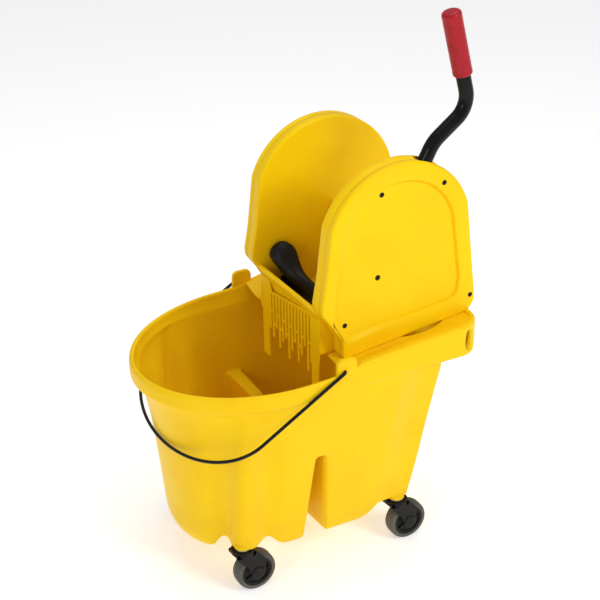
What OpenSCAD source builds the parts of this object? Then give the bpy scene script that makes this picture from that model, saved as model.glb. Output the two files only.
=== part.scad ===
// Mop bucket with a down-press wringer.
// +X is the wringer end, +Y is the far side, +Z is up, and the origin is on the floor
// under the middle of the whole object.

/* [Bucket] */
// Overall length, from the front of the rim to the back of the wringer covers
length = 595; // [590:1:600]
// Overall width across the rim
width = 396; // [390:1:398]
// Height of the rim at the front
rim_front_z = 408; // [404:1:412]
// Height of the rim at the back
rim_back_z = 455; // [450:1:458]
// Height of the rolled band round the rim
band_height = 30; // [24:1:34]
// Wall thickness of the bucket
wall = 5; // [4:0.5:6]
// Height of the inside floor
floor_z = 103; // [100:1:108]
// Height of the lowest edge of the bucket
skirt_z = 72; // [70:1:76]

/* [Castors] */
// Wheel diameter
wheel_d = 76.2; // [70:0.1:78]
// Tread width
tread_w = 25; // [20:1:26]
// Sideways distance from the middle to each swivel axis
castor_y = 140; // [136:1:142]
// Distance from the swivel axis to the wheel axle
castor_trail = 22; // [18:1:24]
// Swivel axis of the front pair
front_castor_x = -172; // [-176:1:-168]
// Swivel axis of the rear pair
rear_castor_x = 148; // [144:1:152]

/* [Bail] */
// Wire diameter
wire_d = 6; // [5:0.5:6.5]
// Distance from the pivots to the bow of the wire
bail_reach = 304; // [303:1:306]
// Angle below level that the bail hangs at
bail_hang = 31; // [30.5:0.5:31]

/* [Wringer] */
// Outer face of each side cover, from the middle
cover_y = 145; // [144:1:146]
// Inner face of the wringer's side walls, from the middle
side_y = 108.4; // [108:0.1:109]
// Wall thickness of the covers and side walls
shell = 3; // [2.6:0.1:3.2]
// Depth of the recessed panel in each cover
panel_depth = 5.5; // [4:0.5:5.5]
// Thickness of the hopper walls
hopper_wall = 4; // [3:0.5:5]

/* [Handle and press] */
// Outside diameter of the handle tube
tube_d = 24.6; // [22:0.1:24.8]
// Wall thickness of the handle tube
tube_wall = 1.6; // [1.2:0.1:2]
// Outside diameter of the grip
grip_d = 34; // [30:1:36]
// Gear module of the drive
gear_module = 3; // [3:1:3]
// Teeth of the drive gear, counted for a full turn
drive_teeth = 18; // [18:1:18]
// Teeth of the press gear, counted for a full turn
press_teeth = 25; // [25:1:25]
// Thickness of both gears
gear_w = 12; // [8:1:12]
// Width of the press plate
press_w = 204; // [190:1:206]

/* [Hidden] */
$fn = 48;
half_l = length / 2;
half_w = width / 2;

yellow = [0.98, 0.81, 0.03];
black = [0.07, 0.07, 0.08];
grey = [0.36, 0.36, 0.33];
red = [0.66, 0.09, 0.12];
steel = [0.72, 0.73, 0.75];
nylon = [0.85, 0.85, 0.82];

// ---- bucket outline, level by level -------------------------------------------------
nose_x = -60;                       // where the round front meets the straight sides
bail_x = -2.5;                      // the bail's pivots
bail_z = 430;
side_x = [-20, 50];                 // bends of the rim line
// Height of the rim along the bucket
function rim_z(x) = x < side_x[0]
    ? rim_front_z + 13 * (x + half_l) / (side_x[0] + half_l)
    : x < side_x[1] ? rim_front_z + 13 + 16 * (x - side_x[0]) / (side_x[1] - side_x[0])
    : rim_front_z + 29 + (rim_back_z - rim_front_z - 29) * (x - side_x[1]) / (half_l - 11 - side_x[1]);
// Height of the band's lower edge along the bucket
function band_z(x) = rim_front_z - band_height + (x < side_x[1] ? 14 * (x + half_l) / (side_x[1] + half_l) : 14);

// One half of a level: front x, rear x, half width, corner length and corner depth
function half_ring(xf, xr, b, cl, cd, p) = concat(
    [for (t = [0 : 7.5 : 90]) [nose_x + (xf - nose_x) * pow(cos(t), p), b * pow(sin(t), p)]],
    [for (x = side_x) [x, b]],
    [for (t = [0 : 22.5 : 90]) [xr - cl * (1 - sin(t)), b - cd * (1 - cos(t))]]);
function full_ring(h) = concat(h, [for (i = [len(h) - 1 : -1 : 1]) [h[i][0], -h[i][1]]]);
// kind 0 is a level ring, 1 follows the rim, 2 follows the band's lower edge
function lift(pts, kind, z) = [for (q = pts) [q[0], q[1],
    kind == 0 ? z : kind == 1 ? rim_z(q[0]) + z : band_z(q[0]) + z]];
function level(xf, xr, b, cl, cd, p, kind, z) = lift(full_ring(half_ring(xf, xr, b, cl, cd, p)), kind, z);

// front x, rear x and half width of the body's outside at the heights where its slope changes
body_levels = [
    [skirt_z, -232, 170, 146],
    [84, -238, 174, 152],
    [190, -249, 194, 165],
    [280, -259, 208, 176],
    [340, -271, 217, 183]];
outer = concat(
    [for (l = body_levels) level(l[1], l[2], l[3], 80, 38, 0.92, 0, l[0])],
    [level(-284, 224, 187, 80, 40, 1, 2, -3),
     level(-half_l + 2, 284, half_w - 1, 46, 46, 1, 2, 0),
     level(-half_l, 286, half_w, 46, 46, 1, 2, 5),
     level(-half_l, 286, half_w, 46, 46, 1, 1, -4),
     level(-half_l + 3, 283, half_w - 3, 44, 44, 1, 1, 0)]);
inner = concat(
    [level(-228, 160, 141, 70, 30, 0.92, 0, floor_z),
     level(-235, 167, 148, 72, 32, 0.92, 0, floor_z + 6)],
    [for (l = body_levels) if (l[0] > floor_z)
        level(l[1] + wall, l[2] - wall, l[3] - wall, 76, 34, 0.92, 0, l[0])],
    [level(-284 + wall, 219, 187 - wall, 76, 36, 1, 2, 2),
     level(-half_l + 15, 272, half_w - 14, 38, 38, 1, 2, 6),
     level(-half_l + 14, 274, half_w - 13, 38, 38, 1, 1, -6),
     level(-half_l + 11, 276, half_w - 10, 38, 38, 1, 1, 0),
     level(-half_l + 11, 276, half_w - 10, 38, 38, 1, 1, 3)]);

// A closed solid through rings that are listed from the lowest to the highest
module loft(rings) {
    n = len(rings[0]);
    m = len(rings);
    polyhedron(
        points = [for (r = rings) each r],
        faces = concat(
            [[for (i = [n - 1 : -1 : 0]) i]],
            [for (k = [0 : m - 2]) for (i = [0 : n - 1])
                let (j = (i + 1) % n)
                each [[k * n + i, (k + 1) * n + j, (k + 1) * n + i],
                      [k * n + i, k * n + j, (k + 1) * n + j]]],
            [[for (i = [0 : n - 1]) (m - 1) * n + i]]));
}

// A flat outline in X and Z, drawn from y0 to y1
module slab(pts, y0, y1) {
    translate([0, y1, 0])
        rotate([90, 0, 0])
            linear_extrude(height = y1 - y0)
                polygon(pts);
}
module rod_y(x, z, y0, y1, r) {
    translate([x, y1, z])
        rotate([90, 0, 0])
            cylinder(h = y1 - y0, r = r);
}
module both_sides() {
    children();
    mirror([0, 1, 0]) children();
}
castors = [[front_castor_x, -castor_y], [front_castor_x, castor_y],
           [rear_castor_x, -castor_y], [rear_castor_x, castor_y]];

// ---- deck that the wringer rests on --------------------------------------------------
deck_x0 = 12;
deck_slope = 0.1223;
function deck_z(x) = 418.7 + (x - 31) * deck_slope;
deck_open = 112;                    // half width of the opening that the hopper drops through
deck_back = 244;
baffle_x = -31;
baffle_top = 252;
baffle_reach = 62;                  // the baffles stop this far from the middle
socket_r = 8;
socket_top = 142;
head_z = 90;                        // top of each castor's swivel head

// Rounded ear at each side of the rim, which carries one end of the bail
ear_outline = concat([[-16, 400]],
    [for (t = [180 : -15 : 90]) [-6, 442] + 10 * [cos(t), sin(t)]],
    [for (t = [90 : -15 : 0]) [12, 442] + 10 * [cos(t), sin(t)]], [[22, 400]]);

module baffle_outline(grow) {
    polygon([[baffle_x - 21 - grow, skirt_z - 1], [baffle_x + 21 + grow, skirt_z - 1],
             [baffle_x + 7 + grow, baffle_top + grow], [baffle_x - 7 - grow, baffle_top + grow]]);
}
module baffle(grow, y0, y1) {
    translate([0, y1, 0])
        rotate([90, 0, 0])
            linear_extrude(height = y1 - y0)
                baffle_outline(grow);
}
module deck_plate() {
    difference() {
        slab([[deck_x0, deck_z(deck_x0)], [279, deck_z(279)],
              [279, deck_z(279) - 4], [deck_x0, deck_z(deck_x0) - 4]], -half_w + 8, half_w - 8);
        translate([deck_x0 - 1, -deck_open, 380])
            cube([deck_back - deck_x0 + 1, 2 * deck_open, 100]);
        both_sides()
            translate([187, deck_open - 40, 380])
                cylinder(h = 100, r = 84);
    }
}
module bucket_shell() {
    color(yellow)
    difference() {
        union() {
            difference() {
                union() {
                    loft(outer);
                    for (c = castors)
                        hull() {
                            translate([c[0] + 2, sign(c[1]) * 118, head_z + 2])
                                cylinder(h = 1, r = 36, $fn = 32);
                            translate([c[0] + (c[0] < 0 ? 38 : -6), sign(c[1]) * 124, 350])
                                cylinder(h = 1, r = 36, $fn = 32);
                        }
                }
                loft(inner);
                // hollow underside inside the skirt
                difference() {
                    loft([level(-226, 164, 140, 76, 34, 0.92, 0, skirt_z - 1),
                          level(-230, 167, 145, 76, 34, 0.92, 0, floor_z - wall)]);
                    for (c = castors)
                        translate([c[0], c[1], skirt_z - 2])
                            cylinder(h = 60, r = 22);
                }
            }
            intersection() {
                loft(outer);
                union() {
                    both_sides() baffle(wall, baffle_reach, half_w);
                    for (c = castors)
                        translate([c[0], c[1], head_z + 2])
                            cylinder(h = socket_top + 6 - head_z, r = 15);
                    deck_plate();
                }
            }
            both_sides() slab(ear_outline, half_w - 7, half_w + 1);
        }
        both_sides() {
            baffle(0, baffle_reach + wall, half_w + 20);
            rod_y(bail_x, bail_z, half_w - 20, half_w + 5, wire_d / 2 + 0.08);
            // seat of the wringer's side in the rear wall
            slab(inset(side_outline, -0.25), side_y - 0.5, cover_y + 0.5);
            // lifting slots in the corners behind the wringer
            translate([258, half_w - 60, band_z(258) + 8])
                cube([13, 70, 38]);
        }
        // wheel wells and the holes for the castor sockets
        for (c = castors)
            translate([c[0], c[1], 0]) {
                cylinder(h = head_z + 2, r = 50);
                cylinder(h = socket_top, r = socket_r);
            }
        // chamfers under the rear of the skirt
        both_sides()
            slab([[92, skirt_z - 5], [230, skirt_z - 5], [230, 92], [112, 92]], 60, half_w);
    }
}
module castor_sockets() {
    color(nylon)
    for (c = castors)
        translate([c[0], c[1], 0])
            difference() {
                union() {
                    translate([0, 0, head_z + 2]) cylinder(h = socket_top - head_z - 2, r = socket_r);
                    translate([0, 0, head_z + 0.3]) cylinder(h = 1.7, r = 13);
                }
                translate([0, 0, head_z]) cylinder(h = socket_top - head_z - 3, r = stem_r + 0.06);
            }
}

// ---- castors ---------------------------------------------------------------------------
stem_r = 5.5;
wheel_r = wheel_d / 2;
hub_r = 29.5;
axle_r = 4;
cheek_t = 3;
cheek_y = tread_w / 2 + 1.5;        // inner face of the fork cheeks

// The wheel's parts are drawn at the swivel axis, with the axle castor_trail behind it
module castor_at(i) {
    translate([castors[i][0], castors[i][1], 0]) children();
}
module fork(i) {
    color(black)
    castor_at(i) {
        difference() {
            union() {
                translate([0, 0, head_z - 8]) cylinder(h = 8, r = 21);
                both_sides() {
                    slab([[-19, head_z - 4], [19, head_z - 4], [castor_trail + 14, 62],
                          [castor_trail + 13, wheel_r - 4], [castor_trail + 4, wheel_r - 13],
                          [castor_trail - 4, wheel_r - 13], [castor_trail - 12, wheel_r - 5]],
                         cheek_y, cheek_y + cheek_t);
                    rod_y(castor_trail, wheel_r, cheek_y, cheek_y + cheek_t, 13);
                }
                slab([[-19, head_z - 4], [-18.2, 80], [17, 80], [19, head_z - 4]],
                     -cheek_y - cheek_t, cheek_y + cheek_t);
            }
            rod_y(castor_trail, wheel_r, -40, 40, axle_r);
            translate([0, 0, 60]) cylinder(h = 60, r = stem_r);
        }
    }
}
module stem(i) {
    color(steel)
    castor_at(i)
        translate([0, 0, head_z - 10]) {
            cylinder(h = socket_top - 5 - head_z + 10, r = stem_r);
            translate([0, 0, -1.5]) cylinder(h = 1.5, r = 8);
        }
}
module axle(i) {
    color(steel)
    castor_at(i) {
        rod_y(castor_trail, wheel_r, -cheek_y - cheek_t, cheek_y + cheek_t, axle_r);
        both_sides()
            rod_y(castor_trail, wheel_r, cheek_y + cheek_t, cheek_y + cheek_t + 2, 6.5);
    }
}
module wheel_hub(i) {
    color(black)
    castor_at(i)
        translate([castor_trail, 0, wheel_r])
            rotate([90, 0, 0])
                rotate_extrude()
                    polygon([[axle_r + 0.08, -tread_w / 2 - 0.8], [10, -tread_w / 2 - 0.8],
                             [12, -tread_w / 2 + 4], [23, -tread_w / 2 + 4], [25, -tread_w / 2 + 1],
                             [hub_r, -tread_w / 2 + 1], [hub_r, tread_w / 2 - 1],
                             [25, tread_w / 2 - 1], [23, tread_w / 2 - 4], [12, tread_w / 2 - 4],
                             [10, tread_w / 2 + 0.8], [axle_r + 0.08, tread_w / 2 + 0.8]]);
}
module tread(i) {
    color(grey)
    castor_at(i)
        translate([castor_trail, 0, wheel_r])
            rotate([90, 0, 0])
                rotate_extrude()
                    polygon([[hub_r + 0.02, -tread_w / 2], [wheel_r - 3, -tread_w / 2],
                             [wheel_r - 0.8, -tread_w / 2 + 3], [wheel_r, -tread_w / 2 + 7],
                             [wheel_r, tread_w / 2 - 7], [wheel_r - 0.8, tread_w / 2 - 3],
                             [wheel_r - 3, tread_w / 2], [hub_r + 0.02, tread_w / 2]]);
}

// ---- bail ------------------------------------------------------------------------------
bail_y = half_w + 4.5;              // the legs run this far from the middle
leg = 186;                          // straight part of each leg
bow_d = bail_reach - leg;
bow_n = 20;
elbow = 3.4;                        // radius of the bend at each end
// Centre line of half the wire, from its end inside the lug to the bow, as distance and side
function bail_path() = concat(
    [[0, half_w - 12]],
    [for (t = [0 : 22.5 : 90]) [elbow * (1 - cos(t)), bail_y - elbow * (1 - sin(t))]],
    [[leg / 2, bail_y]],
    [for (t = [0 : 90 / bow_n : 90]) [leg + bow_d * sin(t), bail_y * cos(t)]]);
module wire(route, r, sides) {
    n = len(route);
    points = [for (i = [0 : n - 1])
        let (a = route[max(i - 1, 0)], b = route[min(i + 1, n - 1)],
             d = (b - a) / norm(b - a), up = [0, 0, 1], s = cross(d, up))
        for (k = [0 : sides - 1])
            route[i] + r * (cos(360 * k / sides) * s + sin(360 * k / sides) * up)];
    polyhedron(points = points, faces = concat(
        [[for (k = [sides - 1 : -1 : 0]) k]],
        [for (i = [0 : n - 2]) for (k = [0 : sides - 1])
            let (k2 = (k + 1) % sides)
            each [[i * sides + k, i * sides + k2, (i + 1) * sides + k2],
                  [i * sides + k, (i + 1) * sides + k2, (i + 1) * sides + k]]],
        [[for (k = [0 : sides - 1]) (n - 1) * sides + k]]));
}
module bail_handle() {
    half = bail_path();
    n = len(half);
    route = concat([for (q = half) [-q[0], q[1], 0]],
                   [for (i = [n - 2 : -1 : 0]) [-half[i][0], -half[i][1], 0]]);
    color(black)
    translate([bail_x, 0, bail_z])
        rotate([0, -bail_hang, 0])
            wire(route, wire_d / 2, 12);
}

// ---- wringer housing -------------------------------------------------------------------
press_at = [49.5, 512];             // axis of the press plate, as X and Z
gear_gap = gear_module * (drive_teeth + press_teeth) / 2;
gear_tilt = 44.4;                   // direction from the press axis to the handle axis
handle_at = press_at + gear_gap * [cos(gear_tilt), sin(gear_tilt)];
crown_at = [137.5, 617];            // centre of the round top of the side covers
crown_r = 143.5;
seam_y = cover_y - 14;              // where the cover meets the side wall
tube_y = cover_y - panel_depth - 2.7 - tube_d / 2;
slot_y0 = tube_y - tube_d / 2 - 0.5;
slot_y1 = cover_y - panel_depth - 2.5;
swing = 70;                         // travel of the handle, in degrees
lean = 63;                          // direction of the tube's lower part at rest

side_outline = concat(
    [[31, 419], [15.5, 422], [9.5, 480], [-14.5, 510], [-16.5, 524], [-8.5, 571]],
    [for (t = [162 : -7 : 15]) crown_at + crown_r * [cos(t), sin(t)]],
    [[half_l - 1, 493], [half_l, 468], [284.5, 450]]);
panel_outline = concat(
    [[34, 452], [20, 488], [20, 524], [27, 571], [33, 640]],
    [for (t = [158 : -8 : 14]) crown_at + (crown_r - 35) * [cos(t), sin(t)]],
    [[261, 522], [256, 492], [243, 480], [142, 466]]);
// Where two lines, each given by a point and a direction, cross
function meet(p, d, q, f) = p + d * cross(q - p, f) / cross(d, f);
// An outline moved inwards by t; its points run clockwise
function inset(pts, t) = [for (i = [0 : len(pts) - 1])
    let (n = len(pts), a = pts[(i + n - 1) % n], b = pts[i], c = pts[(i + 1) % n],
         d = (b - a) / norm(b - a), f = (c - b) / norm(c - b),
         nd = [d[1], -d[0]], nf = [f[1], -f[0]])
    abs(cross(d, f)) < 0.001 ? b + t * nd : meet(b + t * nd, d, b + t * nf, f)];

// Screws, as X, Z and how far the boss under each one may reach outwards
panel_inner = cover_y - panel_depth - shell;
border_inner = cover_y - shell;
screws = [[99.5, 709, panel_inner], [31.5, 481, panel_inner], [287, 481, border_inner]];
crown_screw = [220.5, 709];         // held only by the cover on the handle's side

// The gap that the handle swings through, seen along Y
module swing_gap(y0, y1) {
    slab(concat([for (r = [26, 290]) for (t = r == 26 ? [lean + 6 : -9 : -12.5] : [-12.5 : 9 : lean + 6])
        handle_at + r * [cos(t), sin(t)]]), y0, y1);
}
module cover_blank(slot) {
    difference() {
        slab(side_outline, seam_y, cover_y);
        slab(panel_outline, cover_y - panel_depth, cover_y + 1);
        difference() {
            slab(inset(side_outline, shell), seam_y - 1, border_inner);
            slab(inset(panel_outline, -shell), panel_inner, cover_y);
        }
        for (s = screws) rod_y(s[0], s[1], seam_y, cover_y + 1, 2.6);
        for (s = screws) rod_y(s[0], s[1], s[2] + shell - 2, cover_y + 1, 5);
        rod_y(crown_screw[0], crown_screw[1], seam_y, cover_y + 1, 2.6);
        rod_y(crown_screw[0], crown_screw[1], cover_y - 2, cover_y + 1, 5);
        if (slot) {
            swing_gap(seam_y - 1, slot_y1);
            rod_y(handle_at[0], handle_at[1], seam_y, cover_y + 1, 5.1);
        }
    }
}
module right_cover() {
    color(yellow) mirror([0, 1, 0]) cover_blank(true);
}
module left_cover() {
    color(yellow) cover_blank(false);
}
// Flat-headed screws: a head, a shank and a cross recess
module cover_screw(x, z, head_y, tip_y) {
    difference() {
        union() {
            rod_y(x, z, head_y - 2, head_y, 4.8);
            rod_y(x, z, tip_y, head_y - 2, 2.2);
        }
        for (w = [[3, 0.9], [0.9, 3]])
            translate([x - w[0], head_y - 1.2, z - w[1]]) cube([2 * w[0], 2, 2 * w[1]]);
    }
}
module screw_set(crown_tip) {
    for (s = screws) cover_screw(s[0], s[1], s[2] + shell, side_y + 5);
    cover_screw(crown_screw[0], crown_screw[1], cover_y, crown_tip);
}
module right_cover_screws() {
    color(black) mirror([0, 1, 0]) screw_set(slot_y1 + 0.5);
}
module left_cover_screws() {
    color(black) screw_set(side_y + 5);
}
module side_wall(slot) {
    difference() {
        union() {
            difference() {
                slab(side_outline, side_y, seam_y);
                slab(inset(side_outline, shell), side_y + shell, seam_y + 1);
            }
            for (s = screws) rod_y(s[0], s[1], side_y + 1, s[2], 6);
            if (!slot) rod_y(crown_screw[0], crown_screw[1], side_y + 1, border_inner, 6);
            if (slot) rod_y(handle_at[0], handle_at[1], side_y + 1, side_y + shell + 2, 12);
        }
        for (s = screws) rod_y(s[0], s[1], side_y + 4, cover_y, 2.2);
        if (!slot) rod_y(crown_screw[0], crown_screw[1], side_y + 4, cover_y, 2.2);
        if (slot) {
            swing_gap(slot_y0, seam_y + 1);
            rod_y(handle_at[0], handle_at[1], side_y - 1, cover_y, 5);
        }
        rod_y(press_at[0], press_at[1], side_y - 1, side_y + shell + 1, 9);
    }
}
module right_side_wall() {
    color(yellow) mirror([0, 1, 0]) side_wall(true);
}
module left_side_wall() {
    color(yellow) side_wall(false);
}

// ---- hopper ----------------------------------------------------------------------------
lip_z = 487;
scoop_r = 86;                       // inside radius of the hopper's floor, about the press axis
rear_wall_top = 600;
function scoop(r, from, to) = [for (t = [from : (to - from) / 12 : to])
    press_at + r * [cos(t), sin(t)]];
hopper_outline = concat(
    [[-0.5, lip_z - 5], [2, lip_z], [12, lip_z - 1], [33.5, 463], [40, 436]],
    scoop(scoop_r, -90, 0), [[press_at[0] + scoop_r + 12, rear_wall_top]],
    [[press_at[0] + scoop_r + 12 + hopper_wall, rear_wall_top]],
    scoop(scoop_r + hopper_wall, 0, -90), [[36.5, 433], [30, 461], [10, lip_z - 6], [3, lip_z - 8]]);
module hopper() {
    color(yellow)
    difference() {
        slab(hopper_outline, -side_y, side_y);
        // drain slots through the scoop and the rear wall
        for (y = [-84 : 24 : 84]) {
            for (t = [-70, -46, -22])
                translate([press_at[0], y - 3, press_at[1]])
                    rotate([0, -t, 0])
                        translate([scoop_r - 4, 0, -10]) cube([14, 6, 20]);
            translate([130, y - 3, 535]) cube([30, 6, 44]);
        }
    }
}
// Slotted apron that hangs below the lip, leaning back; the ends of its teeth are staggered
comb_lean = 11;
comb_t = 3;
comb_half = 103;
module drain_comb() {
    tooth = 8.1;
    color(yellow)
    translate([-0.5, 0, lip_z - 5])
        rotate([0, -comb_lean, 0])
            difference() {
                union() {
                    for (i = [0 : 11])
                        let (low = [96, 118, 74, 96, 118, 84, 106, 128, 92, 104, 122, 100][i])
                        translate([0, -comb_half + 2 * i * tooth, -low])
                            cube([comb_t, 2 * tooth - 0.01, low]);
                    translate([0, comb_half - 24, -152]) cube([comb_t, 24, 152]);
                    translate([0, -comb_half, -16]) cube([comb_t, 2 * comb_half, 16]);
                    for (y = [-comb_half, comb_half - 24 - comb_t]) 
                        translate([0, y, -70]) cube([10, comb_t, 56]);
                }
                for (i = [0 : 21])
                    translate([-1, -comb_half + 6 + i * tooth, i % 2 == 0 ? -66 : -90])
                        cube([comb_t + 2, 3.4, i % 2 == 0 ? 48 : 58]);
                translate([-2, -comb_half - 1, 0]) cube([20, 2 * comb_half + 2, 10]);
                rotate([0, comb_lean, 0])
                    translate([0.5, 0, 5 - lip_z])
                        slab(hopper_outline, -side_y, side_y);
            }
}

// ---- drive -----------------------------------------------------------------------------
// One gear tooth as an involute outline, about the X axis, on a gear with z teeth
pressure = 20;
backlash = 0.35;
function involute(rb, r) = let (k = sqrt(max(0, (r / rb) * (r / rb) - 1))) (k * 180 / PI - atan(k));
function half_tooth(z, r) = let (rp = gear_module * z / 2, rb = rp * cos(pressure))
    90 / z - backlash * 90 / (PI * rp) + involute(rb, rp) - involute(rb, max(r, rb));
function tooth(z) = let (rp = gear_module * z / 2, ra = rp + gear_module * 0.9,
                         rf = rp - gear_module * 1.25, rb = rp * cos(pressure),
                         rs = [rf - 1, max(rb, rf), rp - 1.2, rp, rp + 1.3, ra])
    concat([for (r = rs) r * [cos(half_tooth(z, r)), -sin(half_tooth(z, r))]],
           [for (i = [len(rs) - 1 : -1 : 0]) rs[i] * [cos(half_tooth(z, rs[i])), sin(half_tooth(z, rs[i]))]]);
module sector_gear(z, first, last, phase, hub) {
    rf = gear_module * (z / 2 - 1.25);
    pitch = 360 / z;
    circle(r = hub);
    intersection() {
        circle(r = rf);
        polygon(concat([[0, 0]], [for (i = [0 : 4])
            1.6 * rf * [cos(first + (last - first) * i / 4), sin(first + (last - first) * i / 4)]]));
    }
    for (i = [ceil((first - phase) / pitch) : floor((last - phase) / pitch)])
        rotate(phase + i * pitch) polygon(tooth(z));
}
gear_y0 = tube_y - gear_w / 2;
module gear_slab(at) {
    translate([at[0], -gear_y0, at[1]])
        rotate([90, 0, 0])
            linear_extrude(height = gear_w)
                children();
}
spigot_r = tube_d / 2 - tube_wall - 0.05;
tube_start = gear_module * (drive_teeth / 2 + 1) + 2;
module drive_gear() {
    color(black)
    difference() {
        union() {
            gear_slab(handle_at)
                sector_gear(drive_teeth, gear_tilt + 180 - 30, gear_tilt + 180 + swing + 30,
                            gear_tilt + 180, 19);
            translate([handle_at[0], -tube_y, handle_at[1]])
                rotate([0, 90 - lean, 0]) cylinder(h = tube_start + 34, r = spigot_r);
        }
        rod_y(handle_at[0], handle_at[1], -cover_y, -side_y, 5.06);
        rivet_hole();
    }
}
rivet_at = tube_start + 18;
module rivet_hole() {
    translate([handle_at[0] + rivet_at * cos(lean), -tube_y, handle_at[1] + rivet_at * sin(lean)])
        rotate([0, 90 - lean, 0]) rotate([0, 90, 0])
            translate([0, 0, -tube_d / 2 - 1]) cylinder(h = tube_d + 2, r = 3);
}
module tube_rivet() {
    color(steel)
    translate([handle_at[0] + rivet_at * cos(lean), -tube_y, handle_at[1] + rivet_at * sin(lean)])
        rotate([0, 90 - lean, 0]) rotate([0, 90, 0]) {
            translate([0, 0, -tube_d / 2 - 0.6]) cylinder(h = tube_d + 1.2, r = 3);
            for (s = [-1, 1])
                translate([0, 0, s * (tube_d / 2 + 1.4) - 0.8]) cylinder(h = 1.6, r = 5);
        }
}
module press_gear() {
    color(black)
    difference() {
        gear_slab(press_at)
            sector_gear(press_teeth, gear_tilt - swing * drive_teeth / press_teeth - 16, gear_tilt + 18,
                        gear_tilt + 180 / press_teeth, 15);
        rod_y(press_at[0], press_at[1], -cover_y, -side_y, 6);
    }
}
module pivot_bolt() {
    y_head = cover_y - panel_depth;
    color(black)
    mirror([0, 1, 0])
    difference() {
        union() {
            rod_y(handle_at[0], handle_at[1], side_y - 3, y_head, 5);
            rod_y(handle_at[0], handle_at[1], y_head, y_head + 2.6, 7);
            rod_y(handle_at[0], handle_at[1], side_y - 5, side_y, 7.5);
        }
        for (w = [[4, 1], [1, 4]])
            translate([handle_at[0] - w[0], y_head + 1.6, handle_at[1] - w[1]])
                cube([2 * w[0], 2, 2 * w[1]]);
    }
}
module shaft_bushes() {
    color(nylon)
    both_sides()
        difference() {
            union() {
                rod_y(press_at[0], press_at[1], side_y - 1.5, side_y + shell, 9);
                rod_y(press_at[0], press_at[1], side_y - 1.5, side_y, 12);
            }
            rod_y(press_at[0], press_at[1], side_y - 3, side_y + shell + 1, 6.06);
        }
}
module right_press_shaft() {
    color(steel) rod_y(press_at[0], press_at[1], -tube_y - gear_w / 2 - 2, -press_w / 2 + 14, 6);
}
module left_press_shaft() {
    color(steel) {
        rod_y(press_at[0], press_at[1], press_w / 2 - 14, side_y + 20, 6);
        rod_y(press_at[0], press_at[1], side_y + 20, side_y + 22, 8);
    }
}
// Coil spring round the left shaft; one end hooks on the side wall
module return_spring() {
    turns = 4;
    pitch = 3.4;
    coil_r = 10.5;
    steps = 64;
    route = concat(
        [[press_at[0] - 26, side_y + shell + 1.6, press_at[1] - coil_r + 0.2]],
        [for (i = [0 : steps]) let (t = -90 - 360 * turns * i / steps)
            [press_at[0] + coil_r * cos(t), side_y + shell + 1.6 + pitch * turns * i / steps,
             press_at[1] + coil_r * sin(t)]]);
    color(steel) coil(route, 1.1, 8);
}
module coil(route, r, sides) {
    n = len(route);
    points = [for (i = [0 : n - 1])
        let (a = route[max(i - 1, 0)], b = route[min(i + 1, n - 1)],
             d = (b - a) / norm(b - a), s0 = cross(d, [0, 1, 0]), s = s0 / norm(s0), up = cross(s, d))
        for (k = [0 : sides - 1])
            route[i] + r * (cos(360 * k / sides) * s + sin(360 * k / sides) * up)];
    polyhedron(points = points, faces = concat(
        [[for (k = [sides - 1 : -1 : 0]) k]],
        [for (i = [0 : n - 2]) for (k = [0 : sides - 1])
            let (k2 = (k + 1) % sides)
            each [[i * sides + k, i * sides + k2, (i + 1) * sides + k2],
                  [i * sides + k, (i + 1) * sides + k2, (i + 1) * sides + k]]],
        [[for (k = [0 : sides - 1]) (n - 1) * sides + k]]));
}

// ---- handle ----------------------------------------------------------------------------
// The tube bends back, then up again: corners of its centre line, and the radius of each bend
bend_1 = [207.2, 777];
bend_2 = [277, 829.5];
tube_end = [231.5, 998];
bend_1_r = 62;
bend_2_r = 46;
grip_length = 124;
function unit(v) = v / norm(v);
function heading(v) = atan2(v[1], v[0]);
function turn(a, b, c) = abs((heading(c - b) - heading(b - a) + 540) % 360 - 180);
leg_2 = unit(bend_2 - bend_1);
leg_3 = unit(tube_end - bend_2);
leg_1 = unit(bend_1 - handle_at);
tan_1 = bend_1_r * tan(turn(handle_at, bend_1, bend_2) / 2);
tan_2 = bend_2_r * tan(turn(bend_1, bend_2, tube_end) / 2);
straights = [[handle_at + leg_1 * tube_start, bend_1 - leg_1 * tan_1],
             [bend_1 + leg_2 * tan_1, bend_2 - leg_2 * tan_2],
             [bend_2 + leg_3 * tan_2, tube_end]];
module in_tube_plane() {
    translate([0, -tube_y, 0]) rotate([90, 0, 0]) children();
}
module straight(a, b, r) {
    translate([a[0], a[1], 0])
        rotate([0, 0, heading(b - a)])
            rotate([0, 90, 0])
                cylinder(h = norm(b - a), r = r);
}
module hollow_straight(a, b) {
    gap = 0.02 * unit(b - a);       // keeps each length a solid of its own
    in_tube_plane()
        difference() {
            straight(a + gap, b - gap, tube_d / 2);
            straight(a - (b - a), b + (b - a), tube_d / 2 - tube_wall);
        }
}
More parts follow.
